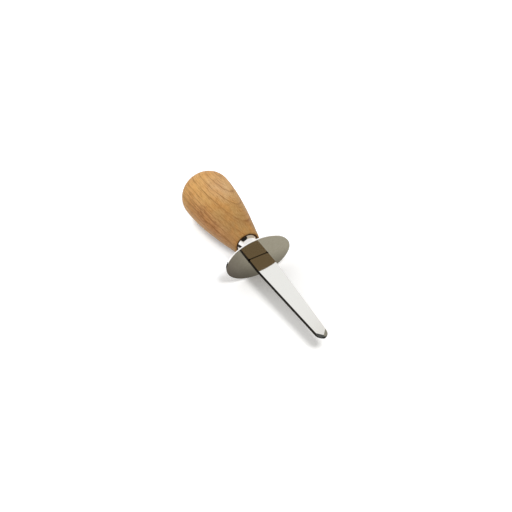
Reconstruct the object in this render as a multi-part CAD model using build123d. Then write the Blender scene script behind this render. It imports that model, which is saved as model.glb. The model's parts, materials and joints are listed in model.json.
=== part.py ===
from build123d import *
from math import acos, atan2, cos, degrees, hypot, radians, sin, tan
import os

# Oyster knife: a blunt blade with its tang, an oval guard, a drawn ferrule and a turned wooden handle,
# held together by the resin that fills the handle's bore round the tang.
# On the bench the knife's axis is X, from butt to tip, and X is zero at the guard's front face.
# Z is square to the blade's flat faces. At the end the knife is laid down on its belly and its guard.

# Blade and tang, one piece of sheet
blade_length = 79.5          # from the guard's front face to the tip
blade_thickness = 2.4
root_width = 13.5
root_length = 10.0           # the edges are parallel here, and taper after it
knee_radius = 150.0          # eases the parallel edges into the taper
shoulder_radius = 0.8
tip_radius = 3.4
edge_rounding = 0.2          # all round the flats, so that a fine groove shows at the guard
ridge_setback = 1.0          # from the tip back to the point where the two tip bevels meet on the flat
bevel_half_angle = 41.0      # degrees, between the blade's axis and the start of each bevel
tip_edge_thickness = 0.5
tang_width = 7.0
tang_length = 48.0
tang_end_width = 3.6
tang_taper_length = 18.0

# Guard, an oval plate pierced for the tang
guard_width = 44.5
guard_height = 29.0
guard_thickness = 1.2
rim_rounding = 0.2
tang_clearance = 0.1

# Ferrule, a drawn cup with a slotted front and a mouth that flares towards the handle
ferrule_length = 13.3
ferrule_radius = 6.5
ferrule_wall = 0.8
ferrule_front_rounding = 1.0
flare_length = 3.0
flare_height = 0.65
lip_rounding = 0.2

# Handle, turned from one piece of wood
handle_length = 69.5         # from the shoulder that meets the ferrule to the butt
belly_radius = 17.0
belly_to_butt = 13.9
butt_fullness_share = 0.6    # a quarter ellipse has 0.55, and a squarer end has more
neck_radius = 8.7
neck_slope = 0.22            # how steeply the handle narrows where it meets the ferrule
neck_edge_rounding = 0.8
tenon_clearance = 0.05
tenon_end_gap = 0.3
bore_radius = 4.0
bore_depth_beyond_tang = 4.0

# One overrun serves all cuts
overrun = 5.0

# The tang is thinner than the blade, so that the blade's eased shoulder still hides the guard's slot
tang_thickness = blade_thickness - 2 * (edge_rounding + tang_clearance)

shoulder_x = -guard_thickness - ferrule_length
butt_x = shoulder_x - handle_length
belly_x = butt_x + belly_to_butt


def blade_outline():
    """The flat outline of the blade: parallel root, straight taper and round tip."""
    half_width = root_width / 2
    tip_centre_x = blade_length - tip_radius
    reach = hypot(tip_centre_x - root_length, half_width)
    swing = atan2(half_width, root_length - tip_centre_x) - acos(tip_radius / reach)
    touch_x = tip_centre_x + tip_radius * cos(swing)
    touch_y = tip_radius * sin(swing)
    sides = Polyline(
        (touch_x, -touch_y), (root_length, -half_width), (0, -half_width),
        (0, half_width), (root_length, half_width), (touch_x, touch_y),
    )
    tip = ThreePointArc((touch_x, touch_y), (blade_length, 0), (touch_x, -touch_y))
    outline = make_face(sides.edges() + tip.edges())
    knees = [v for v in outline.vertices() if abs(v.X - root_length) < shoulder_radius]
    outline = fillet(knees, knee_radius)
    shoulders = [v for v in outline.vertices() if abs(v.X) < shoulder_radius]
    return fillet(shoulders, shoulder_radius)


def tang_outline():
    """The flat outline of the tang, from inside the blade's root back to its narrow end."""
    taper_x = tang_taper_length - tang_length
    return make_face(Polyline(
        (root_length / 2, tang_width / 2), (taper_x, tang_width / 2), (-tang_length, tang_end_width / 2),
        (-tang_length, -tang_end_width / 2), (taper_x, -tang_width / 2), (root_length / 2, -tang_width / 2),
        close=True,
    ))


def tip_bevel(side, face):
    """The space above one bevel of the tip: side is the edge and face the flat that it starts from, 1 or -1."""
    slant = radians(bevel_half_angle)
    bevel_width = tip_radius - (tip_radius - ridge_setback) * sin(slant)
    drop = atan2((blade_thickness - tip_edge_thickness) / 2, bevel_width)
    start = Vector(blade_length - ridge_setback, 0, face * blade_thickness / 2)
    along = Vector(-cos(slant), side * sin(slant), 0)
    out = Vector(sin(drop) * sin(slant), side * sin(drop) * cos(slant), face * cos(drop))
    reach = 4 * tip_radius
    block = Box(reach, reach, reach, align=(Align.CENTER, Align.CENTER, Align.MIN))
    return Plane(origin=start, x_dir=along, z_dir=out) * block


def make_blade():
    """Blade and tang, with eased long edges and four bevels that bring the tip to a blunt ridge."""
    body = extrude(blade_outline(), blade_thickness / 2, both=True)
    flats = [f for f in body.faces() if abs(f.normal_at().Z) > cos(radians(bevel_half_angle))]
    body = fillet([edge for flat in flats for edge in flat.edges()], edge_rounding)
    for side in (-1, 1):
        for face in (-1, 1):
            body -= tip_bevel(side, face)
    return body + extrude(tang_outline(), tang_thickness / 2, both=True)


def tang_slot():
    """The slot that the tang passes through, in the guard and in the ferrule's front."""
    length = 2 * (guard_thickness + ferrule_wall + overrun)
    return Box(length, tang_width + 2 * tang_clearance, tang_thickness + 2 * tang_clearance)


def make_guard():
    """Oval plate with rounded rims. Its front face is at X zero."""
    plate = extrude(Plane.YZ * Ellipse(guard_width / 2, guard_height / 2), -guard_thickness)
    plate = fillet(plate.edges(), rim_rounding)
    return plate - tang_slot()


def make_ferrule():
    """Drawn cup over the handle's tenon, closed towards the guard."""
    front_x = -guard_thickness
    inner = ferrule_radius - ferrule_wall
    mouth = (shoulder_x, ferrule_radius + flare_height)
    flare_end = (shoulder_x + flare_length, ferrule_radius)
    flare = TangentArc(flare_end, mouth, tangent=(-1, 0))
    rest = Polyline(
        flare_end, (front_x, ferrule_radius), (front_x, 0), (front_x - ferrule_wall, 0),
        (front_x - ferrule_wall, inner), (shoulder_x, inner), mouth,
    )
    section = make_face(flare.edges() + rest.edges())
    lip = [v for v in section.vertices() if abs(v.X - shoulder_x) + abs(v.Y - mouth[1]) < lip_rounding]
    section = fillet(lip, lip_rounding)
    corner = [v for v in section.vertices() if abs(v.X - front_x) + abs(v.Y - ferrule_radius) < ferrule_wall]
    section = fillet(corner, ferrule_front_rounding)
    return revolve(section, Axis.X) - tang_slot()


def handle_curve():
    """The turned outline of the handle, from the butt to the neck."""
    butt = Bezier(
        (butt_x, 0), (butt_x, butt_fullness_share * belly_radius),
        (belly_x - butt_fullness_share * belly_to_butt, belly_radius), (belly_x, belly_radius),
    )
    third = (shoulder_x - belly_x) / 3
    taper = Bezier(
        (belly_x, belly_radius), (belly_x + third, belly_radius),
        (shoulder_x - third, neck_radius + neck_slope * third), (shoulder_x, neck_radius),
    )
    return butt, taper


def make_handle():
    """Pear-shaped grip with a tenon for the ferrule and a blind bore for the tang."""
    butt, taper = handle_curve()
    tenon_radius = ferrule_radius - ferrule_wall - tenon_clearance
    tenon_x = -guard_thickness - ferrule_wall - tenon_end_gap
    front = Polyline(
        (shoulder_x, neck_radius), (shoulder_x, tenon_radius), (tenon_x, tenon_radius), (tenon_x, 0), (butt_x, 0),
    )
    section = make_face(butt.edges() + taper.edges() + front.edges())
    neck = [v for v in section.vertices() if abs(v.X - shoulder_x) + abs(v.Y - neck_radius) < tenon_clearance]
    section = fillet(neck, neck_edge_rounding)
    return revolve(section, Axis.X) - bore(tenon_x + overrun)


def bore(mouth_x):
    """The round bore for the tang, from mouth_x to past the tang's end."""
    depth = mouth_x + tang_length + bore_depth_beyond_tang
    hole = Cylinder(bore_radius, depth, align=(Align.CENTER, Align.CENTER, Align.MAX))
    return Plane(origin=(mouth_x, 0, 0), z_dir=(1, 0, 0)) * hole


def make_adhesive(blade):
    """Cured resin that fills the bore round the tang, up to the tenon's end."""
    return bore(-guard_thickness - ferrule_wall - tenon_end_gap) - blade


def rest_tilt():
    """How far the tip dips, in radians, when the belly and the guard's rim both touch the table."""
    steps = 400
    passes = 20
    belly = [c.position_at(i / steps) for c in handle_curve() for i in range(steps + 1)]
    rim_y = guard_height / 2 - rim_rounding
    rims = [Vector(-rim_rounding, rim_y), Vector(rim_rounding - guard_thickness, rim_y)]
    tilt = 0
    for _ in range(passes):
        belly_low = min(-p.X * sin(tilt) - p.Y * cos(tilt) for p in belly)
        guard_low = min(-p.X * sin(tilt) - p.Y * cos(tilt) for p in rims) - rim_rounding
        tilt += (guard_low - belly_low) / -belly_x
    return tilt, -belly_low


def main():
    blade = make_blade()
    pieces = {
        "blade": blade,
        "guard": make_guard(),
        "ferrule": make_ferrule(),
        "handle": make_handle(),
        "tang_adhesive": make_adhesive(blade),
    }
    tilt, height = rest_tilt()
    lying = {name: Location((0, 0, height), (0, degrees(tilt), 0)) * piece for name, piece in pieces.items()}
    boxes = [piece.bounding_box() for piece in lying.values()]
    middle_x = (min(box.min.X for box in boxes) + max(box.max.X for box in boxes)) / 2
    os.makedirs("parts", exist_ok=True)
    for name, piece in lying.items():
        placed = Location((-middle_x, 0, 0)) * piece
        placed.label = name
        export_step(placed, f"parts/{name}.step")


main()
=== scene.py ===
import json
from math import asin, cos, degrees, pi, radians, sin

import bpy
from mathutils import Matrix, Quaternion, Vector


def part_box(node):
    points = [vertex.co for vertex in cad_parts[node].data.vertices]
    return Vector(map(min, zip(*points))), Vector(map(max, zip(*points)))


# An oyster knife on a white table: polished blade and guard, plated ferrule, lacquered wooden handle.
# Lengths are metres in the frame's own axes. The wood's nodes work in millimetres along the knife's own axis.

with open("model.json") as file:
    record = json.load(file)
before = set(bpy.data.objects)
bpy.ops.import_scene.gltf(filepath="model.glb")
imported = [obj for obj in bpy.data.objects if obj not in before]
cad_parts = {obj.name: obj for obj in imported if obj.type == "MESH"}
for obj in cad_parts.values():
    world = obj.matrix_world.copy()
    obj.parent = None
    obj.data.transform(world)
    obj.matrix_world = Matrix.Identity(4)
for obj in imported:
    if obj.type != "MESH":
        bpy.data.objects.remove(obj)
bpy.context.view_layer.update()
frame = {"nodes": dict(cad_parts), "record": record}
nodes = frame["nodes"]

# The knife's own axis, read from the frame: X runs from butt to tip and is zero at the guard's front face
MM = 1000
GUARD_THICKNESS = 0.0012
tilt = asin(frame["record"]["mounts"][0]["axis"][0])
axis = Vector((cos(tilt), 0, -sin(tilt)))
guard_low, guard_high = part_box("guard")
bench_origin = (guard_low + guard_high) / 2 + axis * GUARD_THICKNESS / 2


def shader_tree(name):
    """A new node material with nothing but its output."""
    material = bpy.data.materials.new(name)
    material.use_nodes = True
    tree = material.node_tree
    tree.nodes.clear()
    return material, Nodes(tree, tree.nodes.new("ShaderNodeOutputMaterial"))


class Nodes:
    """Short names for the node types that the materials here are made of."""

    def __init__(self, tree, output):
        self.tree = tree
        self.output = output

    def add(self, kind, values=None, **settings):
        """A node of a kind, with its settings and the values or links of its inputs."""
        node = self.tree.nodes.new("ShaderNode" + kind)
        for key, value in settings.items():
            setattr(node, key, value)
        for key, value in (values or {}).items():
            self.put(node.inputs[key], value)
        return node

    def put(self, socket, value):
        """Links a value that is a socket, and sets one that is a number, colour or vector."""
        if isinstance(value, bpy.types.NodeSocket):
            self.tree.links.new(value, socket)
        else:
            socket.default_value = value

    def math(self, operation, *values, clamp=False):
        node = self.add("Math", operation=operation, use_clamp=clamp)
        for socket, value in zip(node.inputs, values):
            self.put(socket, value)
        return node.outputs[0]

    def smooth(self, value, low, high, out_low=0.0, out_high=1.0):
        """A smooth step of a value from one level to another."""
        node = self.add("MapRange", interpolation_type="SMOOTHSTEP")
        keys = ("Value", "From Min", "From Max", "To Min", "To Max")
        for key, number in zip(keys, (value, low, high, out_low, out_high)):
            self.put(node.inputs[key], number)
        return node.outputs["Result"]

    def mix(self, factor, first, second, blend="MIX"):
        """A mix of two colours."""
        node = self.add("Mix", data_type="RGBA", blend_type=blend)
        self.put(node.inputs[0], factor)
        self.put(node.inputs[6], first)
        self.put(node.inputs[7], second)
        return node.outputs[2]

    def noise(self, vector, scale, detail=2.0, roughness=0.5):
        values = {"Vector": vector, "Scale": scale, "Detail": detail, "Roughness": roughness}
        return self.add("TexNoise", values).outputs["Fac"]

    def stretch(self, vector, scale):
        """A vector with each of its parts multiplied."""
        return self.add("VectorMath", {0: vector, 1: scale}, operation="MULTIPLY").outputs["Vector"]

    def bump(self, height, distance, strength):
        """A shading normal from a height. The distance is how deep, in metres, a height of 1 goes."""
        values = {"Height": height, "Distance": distance, "Strength": strength}
        return self.add("Bump", values).outputs["Normal"]

    def bench(self):
        """Object coordinates in millimetres along the knife's own axis."""
        coordinates = self.add("TexCoord").outputs["Object"]
        shifted = self.add("VectorMath", {0: coordinates, 1: tuple(bench_origin)}, operation="SUBTRACT")
        turned = self.add("VectorRotate", {
            "Vector": shifted.outputs["Vector"], "Axis": (0, 1, 0), "Angle": -tilt,
        }, rotation_type="AXIS_ANGLE")
        return self.stretch(turned.outputs["Vector"], (MM, MM, MM))

    def surface(self, values):
        """The Principled shader on the output, with its inputs set."""
        shader = self.add("BsdfPrincipled", values)
        self.tree.links.new(shader.outputs[0], self.output.inputs["Surface"])


def colour(red, green, blue):
    return (red, green, blue, 1.0)


def polished_steel():
    """Mirror polish with satin tip bevels and near-black sides, with painted shade along the left edge and
    where the blade meets the guard.
    """
    root_half = 6.75
    root_end = 10.0
    tip_start = 76.0
    narrowing = 0.0505
    corner = 2.4
    material, n = shader_tree("blade_polished_steel")
    place = n.bench()
    parts = n.add("SeparateXYZ", {0: place}).outputs
    lines = n.noise(n.stretch(place, (0.05, 4.0, 4.0)), 1.0, 3.0, 0.6)
    clouds = n.noise(place, 0.12, 2.0, 0.5)
    normal = n.add("SeparateXYZ", {0: n.add("TexCoord").outputs["Normal"]}).outputs
    upright = n.math("ABSOLUTE", normal["Z"])
    side = n.smooth(upright, 0.45, 0.8, 1.0, 0.0)
    bevel = n.math("MULTIPLY", n.smooth(normal["X"], 0.15, 0.25), n.smooth(upright, 0.8, 0.85))

    # The left edge carries a painted dark line: painted shade standing in for the shaded table it reflects
    beyond_root = n.math("MAXIMUM", n.math("SUBTRACT", parts["X"], root_end), 0.0)
    taper = n.math("MULTIPLY", beyond_root, -narrowing)
    inward = n.math("ADD", parts["Y"], n.math("ADD", taper, root_half))
    painted_edge_shade = n.smooth(inward, 0.25, 0.5, 1.0, 0.0)
    painted_edge_shade = n.math("MULTIPLY", painted_edge_shade, n.smooth(parts["X"], tip_start - 1, tip_start, 1.0, 0.0))

    # Painted shade where the blade meets the guard, wider at the two ends of the root
    painted_seam_shade = n.smooth(parts["X"], 0.3, 0.5, 1.0, 0.0)
    to_corner = n.add("CombineXYZ", {
        "X": n.math("MAXIMUM", n.math("SUBTRACT", corner, parts["X"]), 0.0),
        "Y": n.math("MAXIMUM", n.math("SUBTRACT", n.math("ABSOLUTE", parts["Y"]), root_half - corner), 0.0),
    }).outputs[0]
    reach = n.add("VectorMath", {0: to_corner}, operation="LENGTH").outputs["Value"]
    painted_corner_shade = n.smooth(reach, corner - 0.1, corner + 0.1)
    # dark gathers the near-black sides with the painted shade along the left edge, at the guard and at the
    # root's ends
    dark = n.math("MAXIMUM", n.math("MAXIMUM", side, painted_edge_shade), n.math("MAXIMUM", painted_seam_shade, painted_corner_shade))
    bright = n.mix(bevel, colour(0.825, 0.825, 0.80), colour(0.42, 0.435, 0.41))
    polish = n.math("MULTIPLY_ADD", clouds, 0.04, 0.04)
    roughness = n.math("MULTIPLY_ADD", n.math("MAXIMUM", dark, bevel), 0.2, polish)
    n.surface({
        "Base Color": n.mix(dark, bright, colour(0.012, 0.011, 0.009)),
        "Metallic": n.math("MULTIPLY_ADD", bevel, -0.14, 1.0),
        "Roughness": roughness,
        "Normal": n.bump(lines, 0.000002, 0.25),
    })
    return material


def guard_steel():
    """Rolled stainless sheet with a fine even grain, a painted highlight round its edge and painted shade in
    the gap round the blade.
    """
    shaded_gap_half = (7.0, 1.35)
    material, n = shader_tree("guard_satin_steel")
    place = n.bench()
    grain = n.noise(n.stretch(place, (1.0, 0.35, 3.0)), 2.0, 3.0, 0.65)
    clouds = n.noise(place, 0.1, 2.0, 0.5)
    facing = n.math("ABSOLUTE", n.add("SeparateXYZ", {0: n.add("TexCoord").outputs["Normal"]}).outputs["X"])
    # Where the face turns away from the axis, the edge is painted brighter: a painted highlight
    painted_rim_highlight = n.smooth(facing, 0.5, 0.9, 1.0, 0.0)
    parts = n.add("SeparateXYZ", {0: place}).outputs
    # Painted shade, near black, in the gap round the blade
    near = [
        n.smooth(n.math("ABSOLUTE", parts[key]), half - 0.15, half + 0.2, 1.0, 0.0)
        for key, half in zip(("Y", "Z"), shaded_gap_half)
    ]
    mottle = n.noise(n.stretch(place, (1.0, 0.5, 0.8)), 0.9, 3.0, 0.7)
    sheet = n.mix(grain, colour(0.70, 0.68, 0.63), colour(0.82, 0.805, 0.76))
    sheet = n.mix(n.smooth(mottle, 0.35, 0.65, 0.0, 0.35), sheet, colour(0.66, 0.63, 0.555))
    # The painted highlight on the guard's edge
    sheet = n.mix(painted_rim_highlight, sheet, colour(0.95, 0.945, 0.93))
    n.surface({
        "Base Color": n.mix(n.math("MULTIPLY", *near), sheet, colour(0.02, 0.018, 0.015)),
        "Metallic": 1.0,
        "Roughness": n.math("MULTIPLY_ADD", clouds, 0.06, 0.05),
        "Normal": n.bump(grain, 0.000003, 0.3),
    })
    return material


def plated_metal():
    """Bright plating over drawn metal, with the faint rings that drawing leaves."""
    material, n = shader_tree("ferrule_bright_plating")
    place = n.bench()
    rings = n.noise(n.stretch(place, (3.0, 0.1, 0.1)), 1.0, 2.0, 0.5)
    n.surface({
        "Base Color": n.mix(rings, colour(0.80, 0.775, 0.76), colour(0.88, 0.86, 0.84)),
        "Metallic": 1.0,
        "Roughness": n.math("MULTIPLY_ADD", rings, 0.03, 0.05),
        "Normal": n.bump(rings, 0.000004, 0.2),
    })
    return material


def cured_resin():
    """Amber resin with faint clouding, hidden in the handle's bore."""
    material, n = shader_tree("tang_cured_resin")
    clouds = n.noise(n.bench(), 0.6, 3.0, 0.55)
    n.surface({
        "Base Color": n.mix(clouds, colour(0.50, 0.38, 0.17), colour(0.60, 0.50, 0.28)),
        "Roughness": n.math("MULTIPLY_ADD", clouds, 0.1, 0.2),
        "Coat Weight": 0.2,
    })
    return material


def lacquered_wood():
    """Turned hardwood: growth layers cut by the round handle, fibre streaks, flecks and a satin lacquer."""
    outer_layer = 16.3
    layer_spacing = 3.23
    layer_wave = 13.0
    turn_at = -41.0
    shoulder_x = -14.5
    dark_shoulder_radius = 7.6

    material, n = shader_tree("handle_lacquered_wood")
    place = n.bench()
    parts = n.add("SeparateXYZ", {0: place}).outputs
    x, y, z = parts["X"], parts["Y"], parts["Z"]
    angle = n.math("MULTIPLY", n.math("ARCTAN2", y, z), degrees(1))

    def streaks(along, across, detail=2.0, roughness=0.5):
        """Noise drawn out along the handle. The numbers are how often it changes in a millimetre."""
        return n.noise(n.stretch(place, (along, across, across)), 1.0, detail, roughness)

    def near(value, middle, reach):
        """1 at a middle value, and 0 at a distance of reach or more from it."""
        return n.smooth(n.math("ABSOLUTE", n.math("SUBTRACT", value, middle)), 0.0, reach, 1.0, 0.0)

    def tint(base, factor, paint, strength=1.0):
        """A base colour painted over, as far as a factor and a strength say."""
        return n.mix(n.math("MULTIPLY", factor, strength), base, colour(*paint))

    # The growth layers are nearly flat. They lean along the handle, turn slowly and are unevenly thick.
    lean = n.math("SUBTRACT", x, turn_at)
    turn = n.math("MULTIPLY_ADD", lean, radians(-0.174), radians(28.5))
    across = n.math("MULTIPLY", y, n.math("SINE", turn))
    height = n.math("MULTIPLY_ADD", z, n.math("COSINE", turn), across)
    height = n.math("MULTIPLY_ADD", lean, -0.05, height)
    for along, over, amount in ((0.03, 0.1, 0.7), (0.14, 0.7, 0.4), (0.45, 1.1, 0.16)):
        waver = n.math("SUBTRACT", streaks(along, over), 0.5)
        height = n.math("MULTIPLY_ADD", waver, amount, height)
    depth = n.math("SUBTRACT", outer_layer, height)
    wave = n.math("SINE", n.math("MULTIPLY", depth, 2 * pi / layer_wave))
    layers = n.math("MULTIPLY_ADD", wave, 0.22, n.math("DIVIDE", depth, layer_spacing))
    phase = n.math("SUBTRACT", n.math("FRACT", n.math("ADD", layers, 0.5)), 0.5)
    outer_side = n.smooth(phase, -0.05, -0.01)
    line = n.math("MULTIPLY", outer_side, n.smooth(phase, 0.01, 0.10, 1.0, 0.0))
    line = n.math("MULTIPLY", line, n.smooth(streaks(0.09, 0.3), 0.32, 0.62, 0.25, 1.0))
    band = n.math("MULTIPLY", outer_side, n.smooth(phase, 0.0, 0.42, 1.0, 0.0))
    hair = n.math("ABSOLUTE", n.math("SUBTRACT", n.math("FRACT", n.math("MULTIPLY", layers, 4.3)), 0.5))
    hair = n.math("MULTIPLY", n.smooth(hair, 0.0, 0.22, 1.0, 0.0), n.smooth(streaks(0.07, 0.25), 0.4, 0.65))

    # Tan at the butt and olive towards the neck and on its right, partly wood tone and partly painted shade
    # on the neck; redder on the left; a painted sheen on top
    base = n.mix(n.smooth(x, -72.0, -20.0), colour(0.77, 0.426, 0.134), colour(0.415, 0.237, 0.08))
    left = n.math("MULTIPLY", near(angle, -80.0, 46.0), near(x, -42.0, 42.0))
    base = tint(base, left, (0.62, 0.27, 0.095), 0.75)
    # A painted sheen: a paler patch on top, where the lacquer catches the light
    pale = n.math("MULTIPLY", near(angle, 10.0, 44.0), near(x, -56.0, 19.0))
    base = tint(base, pale, (0.76, 0.53, 0.30), 0.75)
    base = tint(base, n.smooth(streaks(0.1, 0.16), 0.40, 0.68), (0.60, 0.26, 0.055), 0.40)

    # Fibres, light and dark, and clusters of darker streaks low on the left
    fibres = streaks(0.16, 1.5, 4.0, 0.7)
    base = tint(base, n.smooth(fibres, 0.48, 0.68), (0.33, 0.135, 0.035), 0.62)
    base = tint(base, n.smooth(fibres, 0.50, 0.30), (0.86, 0.54, 0.24), 0.18)
    flecks = streaks(0.5, 2.2, 2.0, 0.6)
    base = tint(base, n.smooth(flecks, 0.60, 0.75), (0.26, 0.10, 0.03), 0.35)
    cluster = n.math("MULTIPLY", near(angle, -68.0, 32.0), near(x, -45.0, 36.0))
    dark = n.math("MULTIPLY", n.smooth(streaks(0.055, 0.85, 2.0, 0.65), 0.48, 0.60), cluster)
    base = tint(base, dark, (0.26, 0.08, 0.017), 0.72)

    base = tint(base, hair, (0.28, 0.11, 0.035), 0.42)
    base = tint(base, band, (0.30, 0.13, 0.04), 0.20)
    base = tint(base, line, (0.24, 0.085, 0.018), 0.58)

    # The butt is painted warmer and brighter, partly wood tone and partly painted light falling on the butt
    base = tint(base, n.smooth(x, -84.0, -74.0, 1.0, 0.0), (0.85, 0.42, 0.13), 0.5)

    # The flat shoulder round the ferrule is darkened: partly dark end grain, partly painted shade in the
    # corner against the ferrule
    radius = n.math("SQRT", n.math("ADD", n.math("MULTIPLY", y, y), n.math("MULTIPLY", z, z)))
    end_grain_and_shade = n.math(
        "MULTIPLY", n.smooth(x, shoulder_x - 0.2, shoulder_x - 0.05),
        n.smooth(radius, dark_shoulder_radius, dark_shoulder_radius + 0.25, 1.0, 0.0),
    )
    base = tint(base, end_grain_and_shade, (0.05, 0.018, 0.006))

    relief = n.math("MULTIPLY_ADD", line, -0.5, fibres)
    n.surface({
        "Base Color": base,
        "Roughness": n.math("MULTIPLY_ADD", fibres, 0.15, 0.42),
        "Specular IOR Level": 0.15,
        "Coat Weight": 0.16,
        "Coat Roughness": 0.3,
        "Normal": n.bump(relief, 0.00004, 0.35),
    })
    return material


def give(node, material):
    """Puts one material on a node of the frame."""
    mesh = nodes[node].data
    mesh.materials.clear()
    mesh.materials.append(material)


give("blade", polished_steel())
give("guard", guard_steel())
give("ferrule", plated_metal())
give("handle", lacquered_wood())
give("tang_adhesive", cured_resin())


# The camera: its direction, distance and aim come from fitting the guard, the handle and the blade
AZIMUTH = radians(64.95)
ELEVATION = radians(40.78)
ROLL = radians(-5.2)
DISTANCE = 0.7423
AIM = bench_origin + Vector((-0.0012, -0.00102, 0.00076))
LENS_MM = 84.375


def make_camera():
    data = bpy.data.cameras.new("camera")
    data.lens = LENS_MM
    data.sensor_width = 36
    data.clip_start = 0.01
    data.clip_end = 20
    camera = bpy.data.objects.new("camera", data)
    bpy.context.scene.collection.objects.link(camera)
    back = Vector((sin(AZIMUTH) * cos(ELEVATION), -cos(AZIMUTH) * cos(ELEVATION), sin(ELEVATION)))
    camera.location = AIM + back * DISTANCE
    camera.rotation_mode = "QUATERNION"
    level = (-back).to_track_quat("-Z", "Y")
    camera.rotation_quaternion = level @ Quaternion((0, 0, 1), ROLL)
    bpy.context.scene.camera = camera


def make_floor():
    """A pale table top that keeps the knife's shadow and is white beyond. Polished metal sees it greyer."""
    radius = 2.5
    direct_share = 0.35
    contact_reach = 0.010
    bpy.ops.mesh.primitive_circle_add(vertices=96, radius=radius, fill_type="NGON", location=(0, 0, 0))
    floor = bpy.context.object
    floor.name = "floor"
    material, n = shader_tree("table_white")
    rays = n.add("LightPath").outputs
    seen = n.math("MAXIMUM", rays["Is Camera Ray"], rays["Is Transmission Ray"])
    place = n.add("TexCoord").outputs["Object"]
    table = n.add("SeparateXYZ", {0: place}).outputs
    distance = n.add("VectorMath", {0: place}, operation="LENGTH").outputs["Value"]

    # What polished metal sees: grey in front of the guard, with painted shade darker left of the blade and by
    # the guard's foot, white beside the handle and painted dark far to the left
    before_guard = n.smooth(table["Y"], -0.018, 0.003)
    mirrored = n.mix(before_guard, colour(0.172, 0.152, 0.133), colour(0.46, 0.435, 0.36))
    mirrored = n.mix(n.smooth(table["X"], 0.001, 0.017, 0.51, 0.0), mirrored, colour(0.02, 0.018, 0.015))
    mirrored = n.mix(n.smooth(table["X"], -0.01, 0.0, 1.0, 0.0), mirrored, colour(0.90, 0.89, 0.87))
    mirrored = n.mix(n.smooth(table["Y"], -0.045, -0.025, 1.0, 0.0), mirrored, colour(0.03, 0.027, 0.024))
    direct = n.stretch(mirrored, (direct_share,) * 3)

    # What the camera sees: white, with the shadow. Beside the handle the shadow is narrow, as in the photo
    beside_handle = n.smooth(table["X"], -0.03, 0.0, 1.0, 0.0)
    # Beside the handle the table is painted bluer, against the warm light the wood throws on it
    plain = n.mix(beside_handle, colour(0.95, 0.945, 0.935), colour(0.80, 0.88, 0.96))
    tint = n.mix(rays["Is Glossy Ray"], plain, direct)
    lit = n.add("BsdfDiffuse", {"Color": tint}).outputs[0]
    # The glow is darkened by ambient occlusion, a painted contact shadow, and raised beside the handle and
    # far off, painted light that whitens the shadow there
    open_share = n.add("AmbientOcclusion", {"Distance": contact_reach}, samples=16).outputs["AO"]
    contact = n.mix(n.smooth(open_share, 0.32, 0.52), colour(0.2, 0.2, 0.205), colour(0.62, 0.62, 0.62))
    lifted = n.mix(beside_handle, colour(0.15, 0.15, 0.149), contact)
    lifted = n.mix(n.smooth(distance, 0.14, 0.30), lifted, colour(1.0, 1.0, 1.0))
    glow = n.mix(seen, colour(0, 0, 0), lifted)
    glow = n.mix(rays["Is Glossy Ray"], glow, n.stretch(mirrored, (1 - direct_share,) * 3))
    shine = n.add("Emission", {"Color": glow, "Strength": 1.0}).outputs[0]
    both = n.add("AddShader", {0: lit, 1: shine}).outputs[0]
    n.tree.links.new(both, n.output.inputs["Surface"])
    floor.data.materials.append(material)


def make_lamps():
    """One large soft lamp, high up beyond the blade's tip."""
    data = bpy.data.lights.new("key_lamp", "AREA")
    data.shape = "DISK"
    data.size = 0.3
    data.energy = 4.4
    lamp = bpy.data.objects.new("key_lamp", data)
    bpy.context.scene.collection.objects.link(lamp)
    lamp.location = (0.45, 0.14, 0.78)
    lamp.rotation_mode = "QUATERNION"
    lamp.rotation_quaternion = (-lamp.location).to_track_quat("-Z", "Y")
    lamp.visible_glossy = False
    lamp.visible_camera = False


def make_surroundings():
    """White for the camera, soft light from beyond the butt for dull surfaces, a studio for polished ones."""
    world = bpy.data.worlds.new("studio")
    bpy.context.scene.world = world
    world.use_nodes = True
    tree = world.node_tree
    tree.nodes.clear()
    n = Nodes(tree, tree.nodes.new("ShaderNodeOutputWorld"))
    way = n.add("TexCoord").outputs["Generated"]

    def around(direction):
        """The angle between a ray and a direction, in degrees."""
        unit = tuple(Vector(direction).normalized())
        dot = n.add("VectorMath", {0: way, 1: unit}, operation="DOT_PRODUCT").outputs["Value"]
        return n.math("MULTIPLY", n.math("ARCCOSINE", dot), degrees(1))

    # White walls beyond the butt and on the left, a dark ceiling, brown beyond the tip and cream elsewhere
    behind = n.smooth(around((-1.0, 0.0, 0.15)), 46, 52, 1.0, 0.0)
    left = n.smooth(around((-0.35, -0.93, 0.10)), 28, 38, 1.0, 0.0)
    height = n.add("SeparateXYZ", {0: way}).outputs["Z"]
    white = n.mix(n.smooth(height, 0.2, 0.6, 1.0, 0.0), colour(1.0, 0.995, 0.985), colour(1.25, 1.24, 1.23))
    beyond_tip = n.smooth(around((0.75, 0.2, 0.63)), 38, 55)
    studio = n.mix(beyond_tip, colour(0.197, 0.14, 0.075), colour(0.55, 0.48, 0.38))
    overhead = n.smooth(around((-0.1, -0.3, 0.95)), 28, 33)
    studio = n.mix(overhead, colour(0.02, 0.018, 0.014), studio)
    studio = n.mix(n.math("MAXIMUM", behind, left), studio, white)

    even = n.smooth(around((-0.75, -0.5, 0.3)), 20, 100, 1.15, 0.30)
    rays = n.add("LightPath").outputs
    seen = n.math("MAXIMUM", rays["Is Camera Ray"], rays["Is Transmission Ray"])
    shown = n.mix(rays["Is Glossy Ray"], even, studio)
    shown = n.mix(seen, shown, colour(1, 1, 1))
    background = n.add("Background", {"Color": shown, "Strength": 1.0}).outputs[0]
    tree.links.new(background, n.output.inputs["Surface"])


make_camera()
make_floor()
make_lamps()
make_surroundings()

bpy.context.scene.view_settings.view_transform = "Standard"
